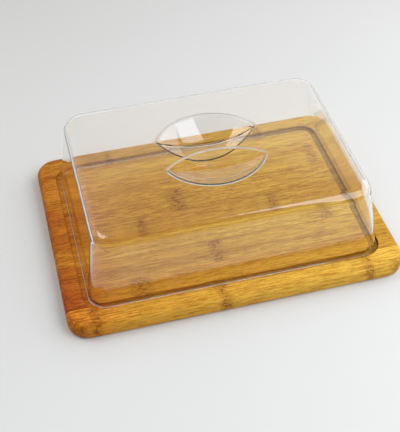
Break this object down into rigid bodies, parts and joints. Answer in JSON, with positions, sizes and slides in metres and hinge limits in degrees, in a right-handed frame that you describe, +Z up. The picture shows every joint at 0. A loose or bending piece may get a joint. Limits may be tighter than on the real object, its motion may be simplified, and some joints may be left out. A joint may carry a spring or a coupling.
{
  "type": "cheese dome",
  "caption": "Rectangular bamboo serving board with a routed groove, and a clear moulded lift-off cover with two finger pits and a pinch ridge in its top.",
  "frame": {"origin": "centre of the board's underside, on the table", "axes": "+X along the board's long side and along the grain, +Y from front to back, +Z up"},
  "size_m": [0.32, 0.24, 0.0953],
  "materials": {
    "bamboo_1": "satin oiled",
    "bamboo_2": "satin oiled",
    "bamboo_3": "satin oiled",
    "bamboo_4": "satin oiled",
    "bamboo_5": "satin oiled",
    "bamboo_6": "satin oiled",
    "bamboo_7": "satin oiled",
    "bamboo_8": "satin oiled",
    "bamboo_9": "satin oiled",
    "clear_plastic": "clear, polished"
  },
  "bodies": {
    "board": {"bamboo_stave_1": "bamboo_1", "bamboo_stave_2": "bamboo_2", "bamboo_stave_3": "bamboo_3", "bamboo_stave_4": "bamboo_4", "bamboo_stave_5": "bamboo_5", "bamboo_stave_6": "bamboo_6", "bamboo_stave_7": "bamboo_7", "bamboo_stave_8": "bamboo_8", "bamboo_stave_9": "bamboo_9"},
    "cover": {"clear_cover": "clear_plastic"}
  },
  "joints": [
    {"name": "cover_lift", "type": "slide", "parent": "board", "child": "cover", "axis": [0, 0, 1], "range_m": [0, 0.12]}
  ]
}
